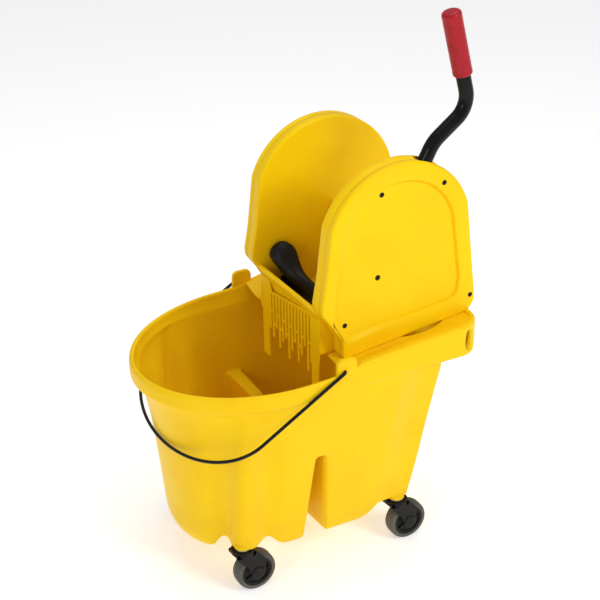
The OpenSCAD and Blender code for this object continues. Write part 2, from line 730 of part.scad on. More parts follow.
// side is 1 where the tube turns left and -1 where it turns right
module hollow_bend(start, dir, side, radius, angle) {
    centre = start + radius * side * [-dir[1], dir[0]];
    in_tube_plane()
        translate([centre[0], centre[1], 0])
            rotate([0, 0, heading(dir) - side * 90 - (side < 0 ? angle : 0)])
                rotate_extrude(angle = angle)
                    translate([radius, 0])
                        difference() {
                            circle(r = tube_d / 2);
                            circle(r = tube_d / 2 - tube_wall);
                        }
}
module handle_tube() {
    color(black) {
        difference() {
            hollow_straight(straights[0][0], straights[0][1]);
            rivet_hole();
        }
        hollow_bend(straights[0][1], leg_1, -1, bend_1_r, turn(handle_at, bend_1, bend_2));
        hollow_straight(straights[1][0], straights[1][1]);
        hollow_bend(straights[1][1], leg_2, 1, bend_2_r, turn(bend_1, bend_2, tube_end));
        hollow_straight(straights[2][0], straights[2][1]);
    }
}
module handle_grip() {
    start = tube_end - leg_3 * grip_length;
    tip = tube_end + leg_3 * 4;
    color(red)
    in_tube_plane()
    difference() {
        union() {
            straight(start, tip, grip_d / 2);
            translate([tip[0], tip[1], 0])
                rotate([0, 0, heading(leg_3)]) rotate([0, 90, 0])
                    rotate_extrude()
                        polygon(concat([[0, -1], [grip_d / 2, -1]],
                            [for (t = [0 : 15 : 75]) [grip_d / 2 - 8 + 8 * cos(t), 8 * sin(t)]],
                            [[grip_d / 2 - 8, 8], [0, 8]]));
        }
        straight(start - leg_3, tube_end + leg_3 * 0.1, tube_d / 2 + 0.02);
    }
}

// ---- press plate -----------------------------------------------------------------------
cheek_w = 12;
blade_top = 484;
blade_low = 440;
module press_plate() {
    color(black)
    difference() {
        union() {
            both_sides() {
                rod_y(press_at[0], press_at[1], press_w / 2 - cheek_w, press_w / 2, 20);
                slab([[press_at[0] - 20, press_at[1]], [press_at[0] + 20, press_at[1]],
                      [press_at[0] + 22, 458], [press_at[0] + 14, blade_low + 4],
                      [press_at[0] - 2, blade_low + 4], [press_at[0] - 12, 467]],
                     press_w / 2 - cheek_w, press_w / 2);
            }
            translate([press_at[0] + 2, -press_w / 2 + 2, blade_low])
                cube([9, press_w - 4, blade_top - blade_low]);
            translate([press_at[0] - 6, -press_w / 2 + 2, blade_top - 6])
                cube([24, press_w - 4, 6]);
            for (y = [-34, 34])
                slab([[press_at[0] + 10, blade_top - 4], [press_at[0] + 22, blade_top - 4],
                      [press_at[0] + 10, blade_low + 16]], y - 4, y + 4);
        }
        // lower edge arched up in the middle
        translate([press_at[0] - 30, 0, blade_low - 294])
            rotate([0, 90, 0]) cylinder(h = 70, r = 306, $fn = 96);
        for (s = [-1, 1])
            rod_y(press_at[0], press_at[1], s < 0 ? -press_w : press_w / 2 - 14,
                  s < 0 ? -press_w / 2 + 14 : press_w, 6);
    }
}

bucket_shell();
castor_sockets();
bail_handle();
fork(1);  // front_left_fork
stem(1);  // front_left_stem
axle(1);  // front_left_axle
wheel_hub(1);  // front_left_hub
tread(1);  // front_left_tread
fork(0);  // front_right_fork
stem(0);  // front_right_stem
axle(0);  // front_right_axle
wheel_hub(0);  // front_right_hub
tread(0);  // front_right_tread
fork(3);  // rear_left_fork
stem(3);  // rear_left_stem
axle(3);  // rear_left_axle
wheel_hub(3);  // rear_left_hub
tread(3);  // rear_left_tread
fork(2);  // rear_right_fork
stem(2);  // rear_right_stem
axle(2);  // rear_right_axle
wheel_hub(2);  // rear_right_hub
tread(2);  // rear_right_tread
hopper();
drain_comb();
right_side_wall();
left_side_wall();
right_cover();
left_cover();
right_cover_screws();
left_cover_screws();
shaft_bushes();
pivot_bolt();
return_spring();
handle_tube();
handle_grip();
tube_rivet();
drive_gear();
press_plate();
press_gear();
right_press_shaft();
left_press_shaft();
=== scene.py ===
import math

import bmesh
import bpy
from mathutils import Matrix, Vector


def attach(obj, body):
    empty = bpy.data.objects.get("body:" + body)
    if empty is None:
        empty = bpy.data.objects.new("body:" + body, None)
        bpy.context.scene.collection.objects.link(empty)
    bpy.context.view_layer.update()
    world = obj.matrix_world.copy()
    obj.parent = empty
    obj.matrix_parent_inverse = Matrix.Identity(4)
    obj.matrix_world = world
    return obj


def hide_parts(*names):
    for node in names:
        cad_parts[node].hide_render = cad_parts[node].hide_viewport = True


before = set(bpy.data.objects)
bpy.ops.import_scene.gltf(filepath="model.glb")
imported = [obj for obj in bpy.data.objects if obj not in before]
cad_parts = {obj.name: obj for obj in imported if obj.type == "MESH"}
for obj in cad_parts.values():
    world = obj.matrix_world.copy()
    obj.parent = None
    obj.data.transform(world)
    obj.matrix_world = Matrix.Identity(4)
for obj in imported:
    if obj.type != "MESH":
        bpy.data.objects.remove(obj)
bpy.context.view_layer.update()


# ---- Bucket: yellow plastic ------------------------------------------------------------
# The bucket, its deck and both sides of the wringer are moulded from one bright yellow
# polypropylene. It has a faint orange-peel skin, soft gloss, and a little dust low down.
class Wired:
    """A socket of a material, so that sums over a surface can be written as plain sums."""

    def __init__(self, tree, socket):
        self.tree = tree
        self.socket = socket

    def node(self, kind, settings=None, inputs=None, output=0):
        made = self.tree.nodes.new(kind)
        for name, value in (settings or {}).items():
            setattr(made, name, value)
        for name, value in (inputs or {}).items():
            if isinstance(value, Wired):
                self.tree.links.new(value.socket, made.inputs[name])
            else:
                made.inputs[name].default_value = value
        return Wired(self.tree, made.outputs[output])

    def sum(self, operation, first, second):
        return self.node("ShaderNodeMath", {"operation": operation}, {0: first, 1: second})

    def __add__(self, other):
        return self.sum("ADD", self, other)

    def __sub__(self, other):
        return self.sum("SUBTRACT", self, other)

    def __rsub__(self, other):
        return self.sum("SUBTRACT", other, self)

    def __mul__(self, other):
        return self.sum("MULTIPLY", self, other)

    def between(self, low, high):
        """0 where this is low or less, 1 where it is high or more, smooth in between."""
        return self.node("ShaderNodeMapRange", {"interpolation_type": "SMOOTHSTEP"},
                         {"Value": self, "From Min": low, "From Max": high})

    def noise(self, scale, detail=3.0, roughness=0.5):
        return self.node("ShaderNodeTexNoise", None,
                         {"Vector": self, "Scale": scale, "Detail": detail, "Roughness": roughness})

    def blend(self, first, second):
        """The first colour where this is 0 and the second where it is 1."""
        return self.node("ShaderNodeMix", {"data_type": "RGBA"}, {0: self, 6: first, 7: second}, 2)

    def heights(self):
        """The Z of a place."""
        return self.node("ShaderNodeSeparateXYZ", None, {"Vector": self}, 2)


def start_material(name):
    """A new material, its surface shader, and the place on the object as a socket."""
    material = bpy.data.materials.new(name)
    material.use_nodes = True
    tree = material.node_tree
    shader = tree.nodes["Principled BSDF"]
    place = Wired(tree, tree.nodes.new("ShaderNodeTexCoord").outputs["Object"])
    return material, shader, place


def finish_material(shader, colour, roughness, relief=None, depth=0.0005, strength=0.3):
    tree = shader.id_data
    for name, value in (("Base Color", colour), ("Roughness", roughness)):
        if isinstance(value, Wired):
            tree.links.new(value.socket, shader.inputs[name])
        else:
            shader.inputs[name].default_value = value
    if relief is not None:
        bump = relief.node("ShaderNodeBump", None,
                           {"Height": relief, "Distance": depth, "Strength": strength})
        tree.links.new(bump.socket, shader.inputs["Normal"])


def set_inputs(shader, values):
    for name, value in values.items():
        shader.inputs[name].default_value = value


def yellow_plastic(name, bright, deep):
    material, shader, place = start_material(name)
    clouds = place.noise(9.0, 4.0, 0.55).between(0.38, 0.66)
    flecks = place.noise(420.0, 2.0, 0.6).between(0.60, 0.78)
    dust = (1.0 - place.heights().between(0.075, 0.16)) * place.noise(38.0, 5.0, 0.62).between(0.40, 0.72)
    streaks = place.node("ShaderNodeMapping", None, {"Vector": place, "Scale": (1.0, 1.0, 0.12)})
    scuffs = (streaks.noise(260.0, 3.0, 0.7).between(0.63, 0.74)
              * place.noise(14.0, 3.0, 0.6).between(0.50, 0.68))
    base = clouds.blend(bright, deep)
    base = (flecks * 0.10).blend(base, (0.93, 0.72, 0.10, 1))
    base = (dust * 0.16).blend(base, (0.42, 0.33, 0.10, 1))
    base = (scuffs * 0.14).blend(base, (1.0, 0.82, 0.30, 1))
    skin = place.noise(620.0, 2.0, 0.5)
    waves = place.noise(26.0, 2.0, 0.5)
    rough = clouds * 0.05 + 0.34 + dust * 0.18 + scuffs * 0.16
    finish_material(shader, base, rough, skin * 0.35 + waves * 0.9, 0.0006, 0.22)
    set_inputs(shader, {"IOR": 1.49, "Specular IOR Level": 0.10})
    return material


# Both copies are the same plastic, but the wringer's copy is a little brighter than the bucket's. The extra
# brightness is painted light, standing in for the fuller light on the wringer's covers.
bucket_yellow = yellow_plastic("bucket_yellow", (0.955, 0.620, 0.006, 1), (0.925, 0.580, 0.006, 1))
wringer_yellow_painted_lit = yellow_plastic("wringer_yellow_painted_lit", (0.985, 0.650, 0.003, 1), (0.955, 0.610, 0.003, 1))


# ---- Bucket: body ----------------------------------------------------------------------
# One deep moulded tub: a round front, tapering walls, a pilaster over each front castor, a
# tall notch in each side that makes a baffle inside, a rolled rim with a deep band round it,
# and a skirt whose lower edge is arched over the castors.
nose = -60.0  # the round front meets the straight sides here
rim_front = -297.5
rim_back = 286
rim_half = 198
# Height, front end, back end and half width of the wall
body_sizes = [(60, -230, 168, 144), (72, -232, 170, 146), (84, -238, 174, 152), (190, -249, 194, 165),
              (280, -259, 208, 176), (340, -271, 217, 183), (372, -281, 223, 187), (400, -284, 224, 188)]
notch_x = -31.0
notch_y = 67.0  # the bottom of the notch, from the middle of the tub
notch_foot = 72
notch_top = 252.0
lobe_r = 27
lobe_from = Vector((-20, 0))  # the pilasters swell outward from here
skirt_foot = 69
skirt_blend = 140  # above this height a level no longer follows the skirt
skirt_top = 98.0
floor_top = 103.0
wall = 5.0


def along(table, at):
    """The row of a table at this value, with a straight line between its rows."""
    at = min(max(at, table[0][0]), table[-1][0])
    for low, high in zip(table, table[1:]):
        if at <= high[0]:
            part = (at - low[0]) / (high[0] - low[0])
            return [a + (b - a) * part for a, b in zip(low, high)]


def ramp(at, low, high):
    part = min(max((at - low) / (high - low), 0.0), 1.0)
    return part * part * (3 - 2 * part)


def cos_sin(degrees):
    return math.cos(math.radians(degrees)), math.sin(math.radians(degrees))


def rim_height(x):
    return along([(rim_front, 408), (-20, 421), (50, 437), (rim_back, 455)], x)[1]


def band_height(x):
    return along([(rim_front, 378), (50, 392), (rim_back, 392)], x)[1]


def notch_half(z):
    return 21 - 14 * min(max((z - notch_foot) / (notch_top - notch_foot), 0), 1)


# Columns of the tub from the middle of the front to the middle of the back
columns = [("front", t) for t in (0, 4, 8, 12, 16, 20, 24, 28, 32, 35, 38, 41, 44, 46, 48, 50, 52, 54, 56,
                                  58, 60, 62, 64, 66, 68, 71, 74, 77, 80, 83, 86, 90)]
columns += [("notch", k) for k in range(-4, 5)]
columns += [("side", v / 12) for v in range(1, 13)]
columns += [("facet", v / 8) for v in range(1, 9)]
columns += [("flat", v / 4) for v in range(1, 4)]
columns += [("corner", a) for a in (0, 10, 21, 33, 46, 60, 75, 90)]
columns += [("back", v / 12) for v in range(11, -1, -1)]


def with_lobe(x, y, z, inset):
    """Swells the round front over a castor, with a shallow dip on each side of the swelling."""
    up = min(max((z - 92) / 258, -0.1), 1.15)
    centre = Vector((-160 - 2 * up, 128 + 15 * up))
    away = Vector((x, y)) - lobe_from
    reach = away.length
    away.normalize()
    to = centre - lobe_from
    ahead = to.dot(away)
    miss = to.length_squared - ahead * ahead
    turn = math.degrees(away.angle_signed(to))
    dips = sum(math.exp(-((turn + side * 12) / 5) ** 2) for side in (-1, 1))
    reach -= 6 * (1 - ramp(z, 300, 368)) * dips
    radius = lobe_r - inset
    if miss < radius * radius:
        bulge = ahead + math.sqrt(radius * radius - miss)
        reach = 0.5 * (reach + bulge + math.sqrt((reach - bulge) ** 2 + 9))
    return lobe_from + away * reach


def tub_point(column, front, back, half, bend, z, inset, lobe):
    """A column's place on one level.

    bend is where the facet starts and ends, how far it steps in, and the corner's length and depth.
    """
    kind, v = column
    facet_x, flat_x, step, corner_x, corner_y = bend
    if kind == "front":
        power = 0.92 if lobe else 1.0
        c, s = cos_sin(v)
        x = nose + (front - nose) * max(c, 0) ** power
        y = half * s ** power
    elif kind == "notch":
        wide = notch_half(z) + inset
        deep = notch_y - inset
        x = notch_x + {-4: -wide - 5, -3: -wide - 1.2, -2: -wide, -1: -wide + 1.5, 0: 0,
                       1: wide - 1.5, 2: wide, 3: wide + 1.2, 4: wide + 5}[v]
        if z <= notch_top + inset and abs(v) <= 2:
            return [x, deep if abs(v) < 2 else deep + 2.5, z]
        y = half
    elif kind == "side":
        x = -2 + (facet_x + 2) * v
        y = half
    elif kind == "facet":
        x = facet_x + (flat_x - facet_x) * v
        y = half - step * v
    elif kind == "flat":
        x = flat_x + (back - corner_x - flat_x) * v
        y = half - step
    elif kind == "corner":
        c, s = cos_sin(v)
        x = back - corner_x + corner_x * s
        y = half - step - corner_y + corner_y * c
    else:
        x = back
        y = (half - step - corner_y) * v
    if lobe and kind == "front":
        x, y = with_lobe(x, y, z, inset)
    return [x, y, z]


def body_point(column, z, inset):
    """A column's place on the tapering wall. The facet's ends move back as the wall widens upward."""
    _, front, back, half = along(body_sizes, z)
    drift = (z - 150) * 0.125
    bend = (97 + drift - inset * 0.3, 140 + drift - inset * 0.5, 5 + 6 * ramp(z, 100, 280), 16, 30 - inset)
    return tub_point(column, front + inset, back - inset, half - inset, bend, z, inset, True)


def body_level(z, inset):
    return [body_point(column, z, inset) for column in columns]


def rim_level(inset, height, lift):
    corner = 46 - inset * 0.5
    bend = (150, 200, 0, corner, corner)
    points = [tub_point(column, rim_front + inset, rim_back - inset, rim_half - inset, bend, 500, inset, False)
              for column in columns]
    return [[x, y, height(x) + lift] for x, y, _ in points]


def skirt_edge(point):
    """How high the lower edge is at a place on the skirt."""
    x, y, _ = point
    if x < -120 and abs(y) < 122:
        return 69 + 31 * ramp(abs(y), 84, 99) - 9 * ramp(abs(y), 104, 112)
    if x > 160:
        return 75 + 18 * ramp(abs(y), 58, 82)
    edge = [(-297, 91), (-136, 91), (-118, 100), (-97, 75), (70, 75), (100, 103), (170, 93), (290, 93)]
    return along(edge, x)[1]


def lower_level(z, inset):
    """A level near the skirt, which follows the skirt's lower edge the more the lower it is."""
    points = []
    for foot, column in zip(body_level(76, 0), columns):
        low = skirt_edge(foot)
        height = low + (z - skirt_foot) * (skirt_blend - low) / (skirt_blend - skirt_foot)
        points.append(body_point(column, height, inset))
    return points


def part_way(points, ends, part, lift):
    """A level that has gone part of the way to another one, seen from above, and is lifted."""
    return [[x + (end[0] - x) * part, y + (end[1] - y) * part, z + lift]
            for (x, y, z), end in zip(points, ends)]


def set_height(points, z):
    return [[x, y, z] for x, y, _ in points]


def whole_loop(half_points):
    """Both sides of a level, from the middle of the front round by the far side."""
    return half_points + [[x, -y, z] for x, y, z in half_points[-2:0:-1]]


def start_loop(mesh, points):
    made = bmesh.ops.create_circle(mesh, segments=len(points), radius=1)["verts"]
    for vert, point in zip(made, points):
        vert.co = point
    return made


def new_verts(made):
    return [item for item in made["geom"] if isinstance(item, bmesh.types.BMVert)]


def loop_edges(mesh, loop):
    return [mesh.edges.get((loop[i], loop[(i + 1) % len(loop)])) for i in range(len(loop))]


def next_loop(mesh, loop, points):
    """Extrudes a loop of vertices to the next loop of places. Its vertices keep their order."""
    fresh = set(new_verts(bmesh.ops.extrude_edge_only(mesh, edges=loop_edges(mesh, loop))))
    out = [next(e.other_vert(v) for e in v.link_edges if e.other_vert(v) in fresh) for v in loop]
    for vert, point in zip(out, points):
        vert.co = point
    return out


def loft(mesh, rings):
    """Joins a row of rings, and returns the first and the last as loops."""
    loop = first = start_loop(mesh, rings[0])
    for ring in rings[1:]:
        loop = next_loop(mesh, loop, ring)
    return first, loop


def close_loop(mesh, loop, centre=None):
    """Closes a loop with triangles, or with a fan round a centre."""
    edges = loop_edges(mesh, loop)
    if centre is None:
        bmesh.ops.triangle_fill(mesh, use_beauty=True, edges=edges)
        return
    fresh = new_verts(bmesh.ops.extrude_edge_only(mesh, edges=edges))
    bmesh.ops.pointmerge(mesh, verts=fresh, merge_co=centre)


def raise_face(mesh, points, by):
    """Fills a flat outline and raises it into a solid."""
    face = mesh.faces.new([mesh.verts.new(point) for point in points])
    made = bmesh.ops.extrude_face_region(mesh, geom=[face])
    bmesh.ops.translate(mesh, verts=new_verts(made), vec=by)


def link_object(name, data):
    made = bpy.data.objects.new(name, data)
    bpy.context.scene.collection.objects.link(made)
    return made


def recolour(node_names, material):
    """Gives a new material to CAD nodes that stay in view."""
    for node in node_names:
        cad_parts[node].data.materials.clear()
        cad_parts[node].data.materials.append(material)


def add_piece(name, mesh, body, material, nodes=(), round_by=0.0, levels=0, sharp=40, segments=2):
    """Turns millimetres into metres and makes the finished piece, fixed to its body."""
    bmesh.ops.remove_doubles(mesh, verts=mesh.verts, dist=0.004)
    bmesh.ops.recalc_face_normals(mesh, faces=mesh.faces)
    bmesh.ops.scale(mesh, vec=(0.001, 0.001, 0.001), verts=mesh.verts)
    data = bpy.data.meshes.new(name)
    mesh.to_mesh(data)
    mesh.free()
    data.polygons.foreach_set("use_smooth", [True] * len(data.polygons))
    if not levels:
        data.set_sharp_from_angle(angle=math.radians(sharp))
    piece = link_object(name, data)
    if round_by:
        bevel = piece.modifiers.new("rounded edges", "BEVEL")
        bevel.width = round_by / 1000
        bevel.segments = segments
        bevel.limit_method = "ANGLE"
        bevel.angle_limit = math.radians(32)
        bevel.miter_outer = "MITER_ARC"
    if levels:
        soft = piece.modifiers.new("soft edges", "SUBSURF")
        soft.levels = levels
        soft.render_levels = levels
    data.materials.append(material)
    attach(piece, body)
    if nodes:
        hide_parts(*nodes)


tub = bmesh.new()
under = start_loop(tub, whole_loop(set_height(body_level(skirt_top, wall), skirt_top)))
skirt_inside = [[x, y, min(skirt_top - 0.5, max(z, 92))] for x, y, z in lower_level(100, wall)]
outside = [skirt_inside, lower_level(71, wall), lower_level(skirt_foot, wall - 1), lower_level(skirt_foot, 1)]
outside += [lower_level(z, 0) for z in (71, 78, 90, 104, 122)]
outside += [body_level(z, 0) for z in (140, 160, 180, 200, 220, 240, 249, 251.5, 253, 256, 268, 284, 300,
                                       318, 334, 350, 362)]
under_band = [[x, y, band_height(x) - 3.5] for x, y, _ in body_level(374, 0)]
outside += [part_way(under_band, under_band, 0, -2),
            part_way(under_band, rim_level(0, band_height, 0), 0.12, 0)]
# Inset, height and lift of each level round the band and over the rim
band = [(2.6, band_height, -0.4), (0.7, band_height, 0.6), (0.1, band_height, 3), (0, band_height, 10),
        (0, rim_height, -12), (0, rim_height, -6), (0.6, rim_height, -3), (2.2, rim_height, -1),
        (5, rim_height, 0), (7.8, rim_height, -1), (9.4, rim_height, -3), (10, rim_height, -12),
        (12.5, band_height, 12), (14, band_height, 7)]
inner_band = [[x, y, band_height(x) + 2] for x, y, _ in body_level(372, wall)]
inside = [part_way(inner_band, rim_level(14, band_height, 7), 0.2, 1.5),
          part_way(inner_band, inner_band, 0, -3)]
inside += [body_level(z, wall) for z in (362, 346, 330, 312, 294, 276, 264, 259, 257.5, 256, 253, 240, 215,
                                         190, 165, 140, 122, 112)]
inside += [set_height(body_level(106, wall + 1), 105.5), set_height(body_level(103, wall + 4), floor_top)]
loop = under
rings = []
for level in outside + [rim_level(*place) for place in band] + inside:
    loop = next_loop(tub, loop, whole_loop(level))
    rings.append(loop)
close_loop(tub, loop)
close_loop(tub, under)
# Lifting slots go through the band at the rear corners, from its outer wall to its inner wall
band_rings = rings[len(outside):len(outside) + len(band)]
slot_column = columns.index(("corner", 10))
for first in (slot_column, 2 * len(columns) - 4 - slot_column):
    openings = []
    for low, high in ((band_rings[3], band_rings[4]), (band_rings[12], band_rings[11])):
        corners = {v for i in range(first, first + 3) for v in (low[i], high[i])}
        bmesh.ops.delete(tub, geom=[f for f in tub.faces if set(f.verts) <= corners], context="FACES")
        openings += [e for e in tub.edges if set(e.verts) <= corners and e.is_boundary]
    bmesh.ops.bridge_loops(tub, edges=openings)
add_piece("bucket_body", tub, "bucket", bucket_yellow, ["bucket_shell"], levels=1)


# ---- Bucket: deck under the wringer ----------------------------------------------------
# A shelf moulded between the rim's sides and back. It slopes gently to the front, carries
# the wringer's side walls, and is cut away in a round hand-hold beside each of them.
deck_thick = 4.0
deck_in = 112.0  # the deck's edge beside a side wall of the wringer
deck_corner = 40.5
hold_x = 187
hold_r = 84


def deck_height(x):
    return 418.7 + (x - 31) * 0.1223


def hand_hold(x):
    """How far out the deck begins: beside a wall, or at the edge of the round hand-hold."""
    return max(deck_in, 72 + math.sqrt(max(hold_r ** 2 - (x - hold_x) ** 2, 0)))


def deck_end(x):
    """How far out the deck ends: along the rim's side and round its rear corner."""
    return 150 + deck_corner * math.sqrt(max(1 - (max(x - 236, 0) / deck_corner) ** 2, 0))


deck = bmesh.new()
deck_xs = [14, 22, 34, 50, 70, 90, 104, 112.5, 114, 118, 124, 132, 142, 154, 166, 178, 187, 196, 208, 220, 232,
           242, 250, 256, 260, 262, 266, 270, 273.5, 276]
deck_rows = 14
for side in (1, -1):
    grid = bmesh.ops.create_grid(deck, x_segments=len(deck_xs) - 1, y_segments=deck_rows, size=1)
    for vert in grid["verts"]:
        x = deck_xs[round((vert.co.x + 1) / 2 * (len(deck_xs) - 1))]
        y = hand_hold(x) + (deck_end(x) - hand_hold(x)) * (vert.co.y + 1) / 2
        rise = (rim_height(x) - 0.6 - deck_height(x)) * ramp(y, 148, 192)
        x -= 6 * (y - 112) / 80 * (1 - ramp(x, 14, 90))
        vert.co = (x, side * y, deck_height(x) + rise)
bmesh.ops.recalc_face_normals(deck, faces=deck.faces)
for face in deck.faces:
    if face.normal.z < 0:
        face.normal_flip()
bmesh.ops.solidify(deck, geom=deck.faces, thickness=deck_thick)
rear_strip = [(262, -113), (276, -113), (276, 113), (262, 113)]
raise_face(deck, [(x, y, deck_height(x) - deck_thick) for x, y in rear_strip], (0, 0, deck_thick))
add_piece("bucket_deck", deck, "bucket", bucket_yellow, round_by=0.8)


# ---- Bucket: ears for the bail ---------------------------------------------------------
# A thick rounded ear stands up from the rim on each side. It is moulded with the tub, and
# the bail's bent end turns in a hole through it.
def rounded_outline(corners, step=11.0):
    """Corners given as across, up and radius, with each corner turned into an arc."""
    points = []
    count = len(corners)
    for i, (x, z, radius) in enumerate(corners):
        here = Vector((x, z))
        back = Vector(corners[i - 1][:2]) - here
        ahead = Vector(corners[(i + 1) % count][:2]) - here
        if radius < 0.05:
            points.append(tuple(here))
            continue
        half = back.angle(ahead) / 2
        reach = min(radius / math.tan(half), 0.49 * back.length, 0.49 * ahead.length)
        radius = reach * math.tan(half)
        back.normalize()
        ahead.normalize()
        centre = here + (back + ahead).normalized() * (radius / math.sin(half))
        first = here + back * reach - centre
        last = here + ahead * reach - centre
        turn = math.pi - 2 * half
        way = -1 if first.x * last.y - first.y * last.x < 0 else 1
        steps = max(2, math.ceil(math.degrees(turn) / step))
        for k in range(steps + 1):
            a = way * turn * k / steps
            points.append((centre.x + first.x * math.cos(a) - first.y * math.sin(a),
                           centre.y + first.x * math.sin(a) + first.y * math.cos(a)))
    return points


def raise_side(mesh, outline, y0, y1):
    """Fills an outline in X and Z at y0 and raises it to y1."""
    raise_face(mesh, [(x, y0, z) for x, z in outline], (0, y1 - y0, 0))


ears = bmesh.new()
ear_outline = rounded_outline([(-16, 402, 0), (-16, 452, 11), (22, 452, 11), (22, 402, 0)], 8)
ear_pad = rounded_outline([(-11.5, 421, 8), (-11.5, 439, 8), (6.5, 439, 8), (6.5, 421, 8)])
for side in (1, -1):
    raise_side(ears, ear_outline, side * 190.5, side * 198.2)
    raise_side(ears, ear_pad, side * 196, side * 199)
add_piece("bucket_ears", ears, "bucket", bucket_yellow, round_by=1.6, segments=3)


# ---- Bucket: castor plates -------------------------------------------------------------
# Under each corner a round plate is moulded to the floor of the tub, and a blind boss inside
# holds the stem of the castor.
castor_centres = {"front_right": (-172, -140), "front_left": (-172, 140),
                  "rear_right": (148, -140), "rear_left": (148, 140)}


def spin_profile(mesh, profile, centre, axis, across, steps):
    """Turns a closed profile, given as distance from the axis and place along it, round that axis."""
    centre = Vector(centre)
    axis = Vector(axis)
    across = Vector(across)
    verts = [mesh.verts.new(centre + across * r + axis * h) for r, h in profile]
    edges = [mesh.edges.new((verts[i], verts[(i + 1) % len(verts)])) for i in range(len(verts))]
    bmesh.ops.spin(mesh, geom=verts + edges, cent=centre, axis=axis, angle=math.tau, steps=steps,
                   use_merge=True)


bosses = bmesh.new()
boss_profile = [(8.1, 92.2), (14, 92.2), (15, 93.2), (15, 99), (10.4, 103), (9.8, 146), (8.4, 148), (0.01, 148),
                (0.01, 142.1), (8.1, 142.1)]
for x, y in castor_centres.values():
    spin_profile(bosses, boss_profile, (x, y, 0), (0, 0, 1), (1, 0, 0), 32)
add_piece("castor_bosses", bosses, "bucket", bucket_yellow)
nylon_material, nylon_shader, nylon_place = start_material("nylon")
nylon_grain = nylon_place.noise(160.0, 3.0, 0.6)
nylon_colour = nylon_grain.between(0.3, 0.7).blend((0.72, 0.71, 0.66, 1), (0.60, 0.59, 0.54, 1))
finish_material(nylon_shader, nylon_colour, nylon_grain * 0.15 + 0.38, nylon_grain, 0.0003, 0.2)
recolour(("castor_sockets", "shaft_bushes"), nylon_material)


# ---- Castors ---------------------------------------------------------------------------
# Four swivel castors trail behind their stems. The fork, hub and axle are black with a
# satin skin, the tyre is grey non-marking rubber, and the stem is plated steel.
def dark_plastic(name, light, dark, rough, grain_scale, depth, strength=0.3):
    material, shader, place = start_material(name)
    grain = place.noise(grain_scale, 3.0, 0.6)
    patches = place.noise(17.0, 4.0, 0.6).between(0.40, 0.66)
    rubs = place.noise(95.0, 4.0, 0.7).between(0.62, 0.76) * place.noise(11.0, 2.0, 0.5).between(0.50, 0.64)
    rubbed = tuple(min(1.0, c * 4.5 + 0.01) for c in light[:3]) + (1,)
    colour = (rubs * 0.35).blend(patches.blend(dark, light), rubbed)
    finish_material(shader, colour, patches * 0.07 + rough + rubs * 0.14, grain, depth, strength)
    set_inputs(shader, {"Specular IOR Level": 0.22})
    return material


black_plastic = dark_plastic("black_plastic", (0.008, 0.0075, 0.0075, 1), (0.0045, 0.0042, 0.0045, 1),
                             0.42, 520.0, 0.0004)
tyre_grey = dark_plastic("tyre_grey", (0.118, 0.116, 0.098, 1), (0.086, 0.085, 0.073, 1),
                         0.58, 330.0, 0.0005, 0.45)
steel_material, steel_shader, steel_place = start_material("plated_steel")
steel_drawn = steel_place.node("ShaderNodeMapping", None, {"Vector": steel_place, "Scale": (6.0, 1.0, 6.0)})
steel_lines = steel_drawn.noise(130.0, 3.0)
steel_colour = steel_place.noise(45.0).between(0.35, 0.7).blend((0.60, 0.61, 0.62, 1), (0.46, 0.47, 0.48, 1))
finish_material(steel_shader, steel_colour, steel_lines * 0.22 + 0.18, steel_lines, 0.0002, 0.15)
set_inputs(steel_shader, {"Metallic": 1.0})

head_top = 90.0
trail = 22.0
wheel_r = 38.1
cheek_in = 14.0
cheek_out = 17.0
head_profile = [(5.6, 82), (21, 82), (21.6, 82.8), (21.6, 85.2), (20.6, 86), (20.6, 86.6), (21.6, 87.4),
                (21.6, 89.2), (20.8, head_top), (5.6, head_top)]
cheek_outline = rounded_outline([(-20, head_top - 4, 3), (20, head_top - 4, 3), (trail + 15, 66, 14),
                                 (trail + 14, wheel_r - 6, 12), (trail + 2, wheel_r - 14, 10),
                                 (trail - 10, wheel_r - 11, 10), (trail - 17, 52, 16), (-20, 79, 6)], 8)
bridge_outline = rounded_outline([(-20, 86, 2), (-19, 79, 3), (17, 79, 3), (20, 86, 2)])
cap_profile = [(4.1, cheek_in), (12.5, cheek_in), (12.5, cheek_out + 0.9), (11, cheek_out + 1.9),
               (4.1, cheek_out + 1.9)]
half_hub = [(4.2, 13.1), (9.5, 13.1), (10.5, 12.3), (11.5, 8.6), (13, 7.8), (22, 7.8), (23.4, 8.6),
            (24.6, 11.2), (25.6, 11.6), (29.4, 11.6)]
half_tyre = [(29.45, 12.5), (34.0, 12.5), (35.6, 12.1), (36.9, 10.9), (37.7, 8.6), (38.0, 5.2), (wheel_r, 1.2)]


def both_halves(half_profile):
    return half_profile + [(r, -h) for r, h in reversed(half_profile)]


